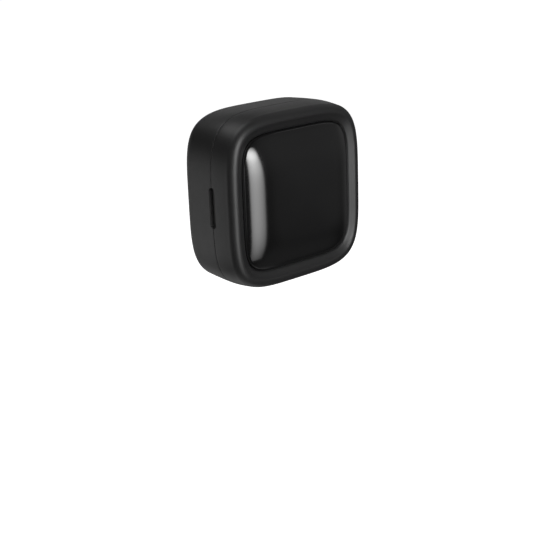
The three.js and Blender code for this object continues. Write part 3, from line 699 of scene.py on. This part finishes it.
def build_liner():
    rows = [mouth(r) for r in (0.2, 5.0, 10.0, 14.0)]
    loops = [xz(q, 9.2) for q in rows]
    loops += [xz(mouth(r), y) for r, y in arc(15.4, 4.5, 4.68, 4.7, 0, 90, 14)]
    loops += [xz(mouth(20.2), 0.5), xz(mouth(20.3), -3.15)]
    loops += [xz(mouth(20.3 + 0.3 * (1 - math.cos(s))), -3.15 - 0.3 * math.sin(s)) for s in (0.4, 0.8, 1.2, math.pi / 2)]
    loops += [xz(mouth(21.02), -3.45), xz(mouth(21.1), -3.40), xz(mouth(21.14), -3.0), xz(mouth(22.66), -3.0),
              xz(mouth(22.7), -3.40), xz(mouth(22.78), -3.45)]
    loops += [xz(CASE.at(2.3), -3.45), xz(CASE.at(2.16), -3.39), xz(CASE.at(2.1), -3.25), xz(CASE.at(2.1), -2.55),
              xz(CASE.at(2.25), -2.4)]
    loops += [xz(mouth(21.9), -2.4), xz(mouth(21.4), -2.25), xz(mouth(21.3), -1.8), xz(mouth(21.3), 4.8)]
    loops += [xz(mouth(r), y) for r, y in arc(16.2, 4.8, 5.1, 5.4, 88, 4, 10)]
    loops += [xz(mouth(12.0), 10.2), xz(mouth(0.2), 10.2)]
    liner = loft("chamber_liner", loops)

    def u_shape(r, taper, y_open):
        return notch_outline(r, taper, y_open)

    trough = loft("u1", [place(u_shape(6.5, 0.2, -3.40), "z", -24.9), place(u_shape(6.5, 0.2, -3.40), "z", -11.3),
                         place(u_shape(6.2, 0.2, -3.40), "z", -11.0)])
    hollow = [xz(mouth(21.0), -6.0), xz(mouth(20.8), 0.5)]
    hollow += [xz(mouth(r), y) for r, y in arc(15.6, 4.5, 5.1, 5.2, 90, 0, 12)]
    hollow += [xz(mouth(6.0), 9.7), xz(mouth(0.2), 9.7)]
    boolean(liner, boolean(trough, loft("u8", hollow)), "UNION")
    for x, z in CORNERS:
        boolean(liner, drum("u2", x, z, 2.2, -3.0, -1.7), "UNION")
    cutters = [hinge_corner("u3"), block("u4", -8.9, 8.9, -5, 13, -40, -24.9, edge=0.02),
               loft("u5", [place(u_shape(5.6, 0.2, PART - 3), "z", -40), place(u_shape(5.6, 0.2, PART - 3), "z", -12)])]
    for x, z in CORNERS:
        cutters.append(drum("u6", x, z, 1.75, -4.5, -2.6, lead=0.0))
        cutters.append(drum("u7", x, z, 1.0, -3, 0, seg=28))
    return boolean(liner, cutters, sharp=28)


def build_gasket():
    """A soft bead with a rounded crown, open at the throat."""
    prof = [(21.35, -3.05), (21.35, -3.45), (21.45, -3.66), (21.64, -3.78), (21.9, -3.82), (22.16, -3.78), (22.35, -3.66), (22.45, -3.45), (22.45, -3.05)]
    bead = loft("lid_gasket", [xz(mouth(r), y) for r, y in prof], ring=True)
    return boolean(bead, block("g1", -6.8, 6.8, -6, 0, -26, -14, r=0.3, edge=0.02), sharp=35)


def build_cover():
    loops = [xz(mouth(r), -8.2) for r in (0.2, 6.0, 12.0, 16.0)]
    loops += [xz(mouth(r), y) for r, y in arc(18.3, -6.6, 1.78, -1.6, 0, 90, 10)]
    loops += [xz(mouth(20.28), -4.3)]
    loops += [xz(mouth(20.3 + 0.3 * (1 - math.cos(s))), -4.25 + 0.3 * math.sin(s)) for s in (0.4, 0.8, 1.2, math.pi / 2)]
    loops += [xz(mouth(22.5), -3.95), xz(CASE.at(2.5), -3.95), xz(CASE.at(2.36), -4.0), xz(CASE.at(2.3), -4.12), xz(CASE.at(2.3), -4.8), xz(CASE.at(2.45), -4.95)]
    loops += [xz(mouth(21.9), -4.95), xz(mouth(21.4), -5.1), xz(mouth(21.25), -5.6), xz(mouth(21.2), -7.3)]
    loops += [xz(mouth(r), y) for r, y in arc(19.5, -7.4, 1.7, -1.6, 86, 4, 6)]
    loops += [xz(mouth(12.0), -9.0), xz(mouth(0.2), -9.0)]
    cover = loft("lid_inner_cover", loops)
    for x, z in CORNERS:
        boolean(cover, drum("v1", x, z, 2.3, -5.6, -4.3), "UNION")
    for x, z in ((-15, 15), (15, 15), (15, -15), (-15, -15)):
        boolean(cover, drum("v2", x, z, 1.4, -10.15, -8.6, seg=28), "UNION")
    opening = loft("v3", [place(rounded_rect(-8.3 - g, 8.3 + g, -11.3 - g, 15.3 + g, 3.3 + g, 10), "y", y)
                          for y, g in ((-12, 0), (-8.42, 0), (-8.30, 0.05), (-8.18, 0.28), (-6, 2.4))])
    cutters = [hinge_corner("v4"), block("v5", -5.95, 5.95, -12, 0, -40, -26.4, edge=0.02), opening]
    for x, z in CORNERS:
        cutters.append(drum("v6", x, z, 1.75, -4.8, -3))
        cutters.append(drum("v7", x, z, 1.0, -6, -4, seg=28))
    boolean(cover, cutters)
    for x, z in ((-23.3, 5.5), (-23.3, -5.5), (23.3, 5.5), (23.3, -5.5)):
        boolean(cover, drum("v8", x, z, 1.3, -8.45, -4.5, seg=28), "UNION")
    smooth(cover, 28)
    return cover


liner = dress(build_liner(), "reflector", "base", "reflector", "chamber_liner")
liner.name = "mirror_chamber"
gasket = dress(build_gasket(), "silicone", "base", "silicone", "lid_gasket")
gasket.name = "chamber_gasket"
cover = dress(build_cover(), "inner", "lid", "inner_plastic", "lid_inner_cover")
cover.name = "lid_inner_skin"

window = dress(slab("window", lambda i: rounded_rect(-8 + i, 8 - i, -11 + i, 15 - i, 3 - i, 12), "y", -8.95, -8.2, edge=0.12),
               "window", "lid", "window", "uv_window")
window.name = "uv_pane"


# ------------------------------------------------------------------ throat seals
def seal_rear():
    """A U of silicone: its inner face carries two wiper lips, its ends are rounded."""
    rows = [(-28.70, 0.30, 0.20), (-28.62, 0.08, 0.08), (-28.50, 0.0, 0.0), (-28.35, 0.0, 0.0), (-28.10, 0.38, 0.0), (-27.80, 0.45, 0.0),
            (-27.50, 0.38, 0.0), (-27.20, 0.0, 0.0), (-26.95, 0.0, 0.0), (-26.80, 0.08, 0.08), (-26.70, 0.30, 0.20)]
    loops = []
    for z, gi, go in rows:
        ri, ro = 4.0 + gi, 5.45 - go
        pts = []
        for i in range(41):
            a = math.pi * i / 40
            pts.append((ro * math.cos(a), NECK_Y + ro * math.sin(a)))
        for i in range(1, 9):
            a = math.pi * i / 8
            m, h = (ri + ro) / 2, (ro - ri) / 2
            pts.append((-m - h * math.cos(a), 4.35 - min(h, 0.35) * math.sin(a)))
        for i in range(41):
            a = math.pi * (1 - i / 40)
            pts.append((ri * math.cos(a), NECK_Y + ri * math.sin(a)))
        for i in range(1, 9):
            a = math.pi * i / 8
            m, h = (ri + ro) / 2, (ro - ri) / 2
            pts.append((m - h * math.cos(a), 4.35 - min(h, 0.35) * math.sin(a)))
        loops.append(place(np.array(pts), "z", z))
    return loft("throat_seal_rear", loops, sharp=50)


def seal_front():
    """The lid's half: a block with a hollowed face that closes on the neck."""
    rows = [(-29.30, 0.25), (-29.20, 0.07), (-29.05, 0.0), (-28.75, 0.0), (-28.45, 0.0), (-28.1, 0.0), (-27.6, 0.0), (-27.25, 0.0), (-27.10, 0.07), (-27.0, 0.25)]
    lip = {-28.45: 0.3, -28.1: 0.4}
    loops = []
    for z, g in rows:
        r = 4.0 + g * 0.6 + lip.get(z, 0.0)
        half, y0, y1 = 4.9 - g, 0.25 + g * 0.4, 3.6 - g * 0.5
        y1 = min(y1, 3.6)
        horn = math.sqrt(max(r * r - (NECK_Y - y1) ** 2, 0.01))
        horn = min(horn, half - 0.25)
        a0 = math.atan2(y1 - NECK_Y, horn)
        pts = [(-half + 0.25, y0), (half - 0.25, y0), (half - 0.07, y0 + 0.07), (half, y0 + 0.25), (half, y1 - 0.3), (half - 0.08, y1 - 0.08), (horn + (half - horn) * 0.5, y1)]
        for i in range(33):
            a = a0 + (-math.pi - 2 * a0) * i / 32
            pts.append((r * math.cos(a), NECK_Y + r * math.sin(a)))
        pts += [(-horn - (half - horn) * 0.5, y1), (-half + 0.08, y1 - 0.08), (-half, y1 - 0.3), (-half, y0 + 0.25), (-half + 0.07, y0 + 0.07)]
        loops.append(place(np.array(pts), "z", z))
    return loft("throat_seal_front", loops, sharp=50)


dress(seal_rear(), "silicone", "base", "silicone", "throat_seal_rear").name = "rear_throat_seal"
dress(seal_front(), "silicone", "lid", "silicone", "throat_seal_front").name = "front_throat_seal"


# ------------------------------------------------------------------ fasteners
def screw(name, x, z, head_y, way):
    """Countersunk cross-head screw with a cut thread. way +1 points to the rear."""
    seg, pitch = 28, 0.55
    t = np.linspace(0, 2 * np.pi, seg, endpoint=False)
    rows = [(0.02, 0.0), (1.38, 0.0), (1.46, 0.04), (1.5, 0.12), (1.5, 0.30), (1.46, 0.38), (0.80, 0.84), (0.62, 1.0)]
    loops = []
    for r, d in rows:
        loops.append((np.full(seg, r), d))
    d = 1.05
    end = 5.75 if way > 0 else 4.75
    while d < end:
        taper = min(1.0, (end - d) / 0.7 + 0.25)
        ph = (d / pitch - t / (2 * np.pi)) % 1.0
        tri = 1 - np.abs(ph * 2 - 1)
        loops.append(((0.50 + 0.20 * tri) * taper, d))
        d += pitch / 6
    loops.append((np.full(seg, 0.05), end + 0.05))
    pts = [np.stack([x + r * np.cos(t), np.full(seg, head_y + way * dd), z + r * np.sin(t)], 1) for r, dd in loops]
    body = loft(name, pts, sharp=35)
    cuts = []
    for a, b in ((0.92, 0.2), (0.2, 0.92)):
        w = [place(rounded_rect(x - a * g, x + a * g, z - b * g, z + b * g, 0.05, 2), "y", head_y + way * dd)
             for dd, g in ((-0.2, 1.05), (0.0, 1.0), (0.42, 0.72), (0.62, 0.3))]
        cuts.append(loft("x", w))
    return boolean(body, cuts, sharp=35)


for i, (x, z) in enumerate(CORNERS, 1):
    dress(screw("s", x, z, -3.42, 1), "steel", "base", "steel", "liner_screw_%d" % i).name = "base_screw_%d" % i
    dress(screw("s", x, z, -3.98, -1), "steel", "lid", "steel", "lid_screw_%d" % i).name = "cover_screw_%d" % i

pin = turned("pin", [(0.35, -14.70), (0.52, -14.62), (0.6, -14.42), (0.6, 14.42), (0.52, 14.62), (0.35, 14.70)], "z", HX, HY, seg=40)
dress(pin, "steel", "base", "steel", "hinge_pin").name = "pivot_pin"


# ------------------------------------------------------------------ charging inlet
def usb_parts():
    x, y = 15.2, -6.8

    def rr(hw, hh, r):
        return rounded_rect(x - hw, x + hw, y - hh, y + hh, r, 12)

    rows = [(-28.2, 4.40, 1.53), (-28.15, 4.47, 1.6), (-22.7, 4.47, 1.6), (-22.6, 4.40, 1.53)]
    loops = [place(rr(a, b, b - 0.05), "z", z) for z, a, b in rows]
    inner = [(-23.5, 4.17, 1.3), (-27.95, 4.17, 1.3), (-28.12, 4.20, 1.33), (-28.2, 4.27, 1.4)]
    loops += [place(rr(a, b, b - 0.05), "z", z) for z, a, b in inner]
    # the can: outside, closed back with a floor, inside
    can = loft("usb_can", loops[:4] + [place(rr(2.0, 0.7, 0.6), "z", -22.6)], sharp=35)
    hollow = loft("h", list(reversed(loops[4:])) + [], sharp=35)
    boolean(can, hollow, sharp=35)
    tongue = block("usb_tongue", x - 3.3, x + 3.3, y - 0.35, y + 0.35, -27.6, -23.4, r=0.25, edge=0.12, axis="z")
    pads = []
    for side in (-1, 1):
        for k in range(12):
            px = x - 2.75 + 0.5 * k
            yy0, yy1 = (y - 0.39, y - 0.33) if side < 0 else (y + 0.33, y + 0.39)
            pads.append(block("p", px - 0.13, px + 0.13, yy0, yy1, -27.2 if k not in (0, 3, 8, 11) else -27.35, -24.2, r=0.05, edge=0.01, axis="z"))
    return can, tongue, merge("usb_contacts", pads)


can, tongue, contacts = usb_parts()
dress(can, "steel", "lid", "steel", "usb_socket").name = "inlet_can"
dress(tongue, "chip", "lid", "chip", "usb_socket").name = "inlet_tongue"
dress(contacts, "contact", "lid", "steel", "usb_socket").name = "inlet_contacts"


# ------------------------------------------------------------------ electronics
def led_parts(z0):
    """Ceramic package: a walled base with a chip in its pit and a framed lid of glass."""
    c = z0 + 1.75
    body = slab("led", lambda i: rounded_rect(-1.75 + i, 1.75 - i, c - 1.75 + i, c + 1.75 - i, 0.12, 3), "y", -10.18, -9.36, edge=0.05)
    pit = loft("pit", [place(rounded_rect(-a, a, c - a, c + a, 0.3, 4), "y", y) for y, a in ((-9.75, 0.85), (-9.3, 1.15), (-9.0, 1.35))])
    boolean(body, pit)
    frame_loops = []
    for a, y in ((1.62, -9.36), (1.62, -9.31), (1.28, -9.31), (1.28, -9.36)):
        frame_loops.append(place(rounded_rect(-a, a, c - a, c + a, 0.3, 4), "y", y))
    rim = loft("rim", frame_loops, ring=True)
    die = slab("die", lambda i: rounded_rect(-0.5 + i, 0.5 - i, c - 0.5 + i, c + 0.5 - i, 0.04, 2), "y", -9.76, -9.62, edge=0.02)
    glass = slab("glass", lambda i: rounded_rect(-1.45 + i, 1.45 - i, c - 1.45 + i, c + 1.45 - i, 0.3, 4), "y", -9.31, -9.21, edge=0.03)
    return body, merge("rim", [rim, die]), glass


for tag, z0 in (("upper", 7.25), ("lower", -6.75)):
    b0, b1, b2 = led_parts(z0)
    dress(b0, "ceramic", "lid", "led_package", "uv_led_" + tag).name = "lamp_body_" + tag
    dress(b1, "contact", "lid", "led_package", "uv_led_" + tag).name = "lamp_die_" + tag
    dress(b2, "window", "lid", "window", "uv_led_" + tag).name = "lamp_glass_" + tag


def board_shape():
    body = slab("board", lambda i: rounded_rect(-20 + i, 20 - i, -20 + i, 20 - i, 6 - i, 10), "y", -11.2, -10.2, edge=0.04)
    cuts = [block("n", 18.8, 21, -12, -9, -4.7, 4.7, r=0.6), block("n", -21, -18.8, -12, -9, -4.7, 4.7, r=0.6)]
    return boolean(body, cuts)


dress(board_shape(), "board", "lid", "circuit_board", "control_board").name = "main_board"


# ------------------------------------------------------------------ studio
# Brightness of the tall soft box from its foot to its top, and across it.
KEY_RISE = ((0, 0.12), (0.2, 0.26), (0.4, 0.52), (0.48, 0.74), (0.53, 0.96), (0.58, 1.1), (0.65, 1.4), (0.72, 1.8), (0.8, 1.75), (0.9, 1.1), (1, 0.6))
KEY_ACROSS = ((0, 0.1), (0.14, 1), (0.80, 1), (1, 0.1))
# name, azimuth (0 is the front, positive to the right), elevation, roll, distance,
# width, height, radiance, then the two curves
LIGHTS = (
    ("key", -11.0, -8.0, 4.0, 1.0, 0.62, 1.50, 4.6, KEY_RISE, KEY_ACROSS),
    ("high_rear", -145.0, 65.0, 0.0, 1.0, 0.75, 0.75, 1.9),
    ("low_rear_left", -132.0, -18.0, 0.0, 1.0, 0.75, 0.55, 1.0),
    ("rear_right", 142.0, 18.0, 0.0, 1.0, 0.80, 0.42, 0.45),
    ("right_high", 97.0, 42.0, 0.0, 1.0, 0.70, 0.40, 0.42),
)
# azimuth, elevation, full within, gone beyond (degrees), amount
GLOWS = (
    (50.0, 16.0, 10.0, 50.0, 0.13), (-52.0, -8.0, 2.0, 12.0, 0.45), (102.0, 4.0, 8.0, 36.0, 0.12), (45.0, -52.0, 8.0, 32.0, 0.05),
    (178.0, -22.0, 8.0, 38.0, 0.45), (180.0, -75.0, 15.0, 42.0, 0.60),
)


def unit(azimuth, elevation):
    a, e = math.radians(azimuth), math.radians(elevation)
    return Vector((math.sin(a) * math.cos(e), -math.cos(a) * math.cos(e), math.sin(e)))


def softbox(name, azimuth, elevation, roll, distance, width, height, radiance, ramp=None, across=None, target=(0.0, 0.0, 0.03)):
    d = unit(azimuth, elevation)
    light = bpy.data.lights.new(name, "AREA")
    light.shape = "RECTANGLE"
    light.size, light.size_y = width, height
    light.energy = radiance * math.pi * width * height
    ob = bpy.data.objects.new(name, light)
    bpy.context.scene.collection.objects.link(ob)
    right = Vector((0, 0, 1)).cross(d).normalized()
    up = d.cross(right)
    r = math.radians(roll)
    right, up = right * math.cos(r) + up * math.sin(r), up * math.cos(r) - right * math.sin(r)
    p = Vector(target) + d * distance
    ob.matrix_world = Matrix(((right.x, up.x, d.x, p.x), (right.y, up.y, d.y, p.y), (right.z, up.z, d.z, p.z), (0, 0, 0, 1)))
    ob.visible_camera = False
    if ramp:
        light.use_nodes = True
        nt = light.node_tree
        em = nt.nodes["Emission"]
        geo = nt.nodes.new("ShaderNodeNewGeometry")
        sep = nt.nodes.new("ShaderNodeSeparateXYZ")
        nt.links.new(geo.outputs["Parametric"], sep.inputs["Vector"])

        def curve(value, points):
            cr = nt.nodes.new("ShaderNodeFloatCurve")
            cu = cr.mapping.curves[0]
            pts = [(f, v / 4.0) for f, v in points]
            cu.points[0].location = pts[0]
            cu.points[-1].location = pts[-1]
            for f, v in pts[1:-1]:
                cu.points.new(f, v)
            cr.mapping.update()
            nt.links.new(value, cr.inputs["Value"])
            m = nt.nodes.new("ShaderNodeMath")
            m.operation = "MULTIPLY"
            m.inputs[1].default_value = 4.0
            nt.links.new(cr.outputs["Value"], m.inputs[0])
            return m.outputs["Value"]

        level = curve(sep.outputs["Y"], ramp)
        if across:
            m = nt.nodes.new("ShaderNodeMath")
            m.operation = "MULTIPLY"
            nt.links.new(level, m.inputs[0])
            nt.links.new(curve(sep.outputs["X"], across), m.inputs[1])
            level = m.outputs["Value"]
        nt.links.new(level, em.inputs["Strength"])
    return ob


def sky(base, lobes):
    sc = bpy.context.scene
    world = bpy.data.worlds.new("studio")
    sc.world = world
    world.use_nodes = True
    nt = world.node_tree
    bg = nt.nodes["Background"]
    tc = nt.nodes.new("ShaderNodeTexCoord")
    total = None
    for az, el, inner, outer, amount in lobes:
        d = unit(az, el)
        dot = nt.nodes.new("ShaderNodeVectorMath")
        dot.operation = "DOT_PRODUCT"
        dot.inputs[1].default_value = d
        nt.links.new(tc.outputs["Generated"], dot.inputs[0])
        mr = nt.nodes.new("ShaderNodeMapRange")
        mr.interpolation_type = "SMOOTHSTEP"
        mr.inputs["From Min"].default_value = math.cos(math.radians(outer))
        mr.inputs["From Max"].default_value = math.cos(math.radians(inner))
        mr.inputs["To Min"].default_value = 0.0
        mr.inputs["To Max"].default_value = amount
        nt.links.new(dot.outputs["Value"], mr.inputs["Value"])
        if total is None:
            total = mr.outputs["Result"]
        else:
            ad = nt.nodes.new("ShaderNodeMath")
            ad.operation = "ADD"
            nt.links.new(total, ad.inputs[0])
            nt.links.new(mr.outputs["Result"], ad.inputs[1])
            total = ad.outputs["Value"]
    ad = nt.nodes.new("ShaderNodeMath")
    ad.operation = "ADD"
    ad.inputs[1].default_value = base
    nt.links.new(total, ad.inputs[0])
    nt.links.new(ad.outputs["Value"], bg.inputs["Strength"])
    bg.inputs["Color"].default_value = (1, 1, 1, 1)
    lp = nt.nodes.new("ShaderNodeLightPath")
    white = nt.nodes.new("ShaderNodeBackground")
    white.inputs["Color"].default_value = (1, 1, 1, 1)
    white.inputs["Strength"].default_value = 1.05
    mx = nt.nodes.new("ShaderNodeMixShader")
    nt.links.new(lp.outputs["Is Camera Ray"], mx.inputs["Fac"])
    nt.links.new(bg.outputs["Background"], mx.inputs[1])
    nt.links.new(white.outputs["Background"], mx.inputs[2])
    nt.links.new(mx.outputs["Shader"], nt.nodes["World Output"].inputs["Surface"])
    return world


def studio():
    sc = bpy.context.scene
    sc.view_settings.view_transform = "Standard"
    sc.view_settings.look = "None"
    sky(0.012, GLOWS)
    me = bpy.data.meshes.new("floor")
    s = 12.0
    me.from_pydata([(-s, -s, -0.2), (s, -s, -0.2), (s, s, -0.2), (-s, s, -0.2)], [], [(0, 1, 2, 3)])
    floor = bpy.data.objects.new("floor", me)
    sc.collection.objects.link(floor)
    m, fnt, b = new_material("pale_floor")
    b.inputs["Base Color"].default_value = (0.9, 0.9, 0.9, 1)
    b.inputs["Roughness"].default_value = 0.9
    b.inputs["Emission Color"].default_value = (1, 1, 1, 1)
    b.inputs["Emission Strength"].default_value = 1.0
    me.materials.append(m)
    floor.visible_glossy = False
    floor.visible_diffuse = False
    floor.visible_transmission = False

    for row in LIGHTS:
        softbox(*row)


studio()

# ------------------------------------------------------------------ closing
REST = {
    "chamber_liner": "reflector", "throat_seal_rear": "silicone", "throat_seal_front": "silicone", "lid_gasket": "silicone",
    "hinge_pin": "steel", "usb_socket": "steel", "lid_inner_cover": "inner", "button_frame": "inner", "uv_window": "window",
    "control_board": "board", "charge_board": "board", "battery_cell": "pouch", "battery_tape": "foam", "charge_ribbon": "amber",
    "boost_inductor": "ferrite", "switch_stem": "silicone",
}
for name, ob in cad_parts.items():
    if ob.hide_render:
        continue
    key = REST.get(name)
    if key is None:
        key = ("steel" if "screw" in name else "magnet" if "magnet" in name else "silicone" if "pad" in name
               else "ceramic" if "led" in name else "chip")
    ob.data.materials.clear()
    ob.data.materials.append(MAT[key])
